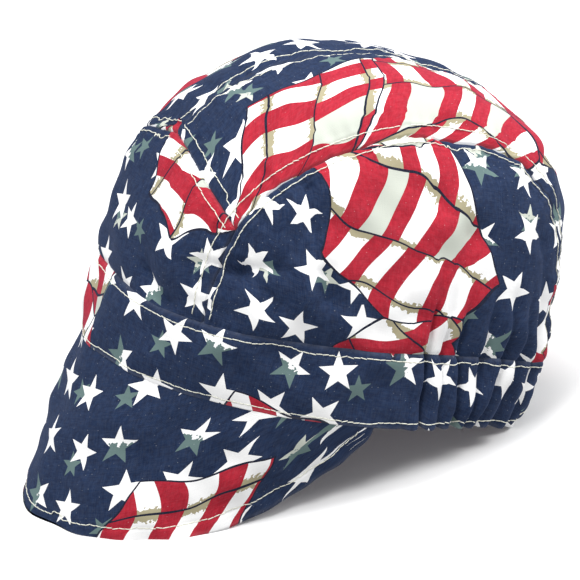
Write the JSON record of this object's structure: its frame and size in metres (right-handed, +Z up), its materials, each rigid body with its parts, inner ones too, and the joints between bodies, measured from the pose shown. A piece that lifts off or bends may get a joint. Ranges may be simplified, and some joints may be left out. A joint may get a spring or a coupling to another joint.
{
  "type": "welding cap",
  "caption": "Soft cotton welding cap with a turned-down topstitched peak and an elastic-gathered headband, in a stars and stripes print.",
  "frame": {"origin": "on the surface the cap stands on, under the middle of its box", "axes": "-Y towards the tip of the peak, +X to the wearer's left, +Z up from the surface"},
  "size_m": [0.1644, 0.2576, 0.1765],
  "materials": {
    "printed_cotton": "matt cotton twill, printed",
    "thread": "matt cotton thread"
  },
  "bodies": {
    "root": {"crown_front": "printed_cotton", "crown_left": "printed_cotton", "crown_right": "printed_cotton", "side_left": "printed_cotton", "side_right": "printed_cotton", "headband": "printed_cotton", "peak": "printed_cotton"}
  },
  "joints": []
}
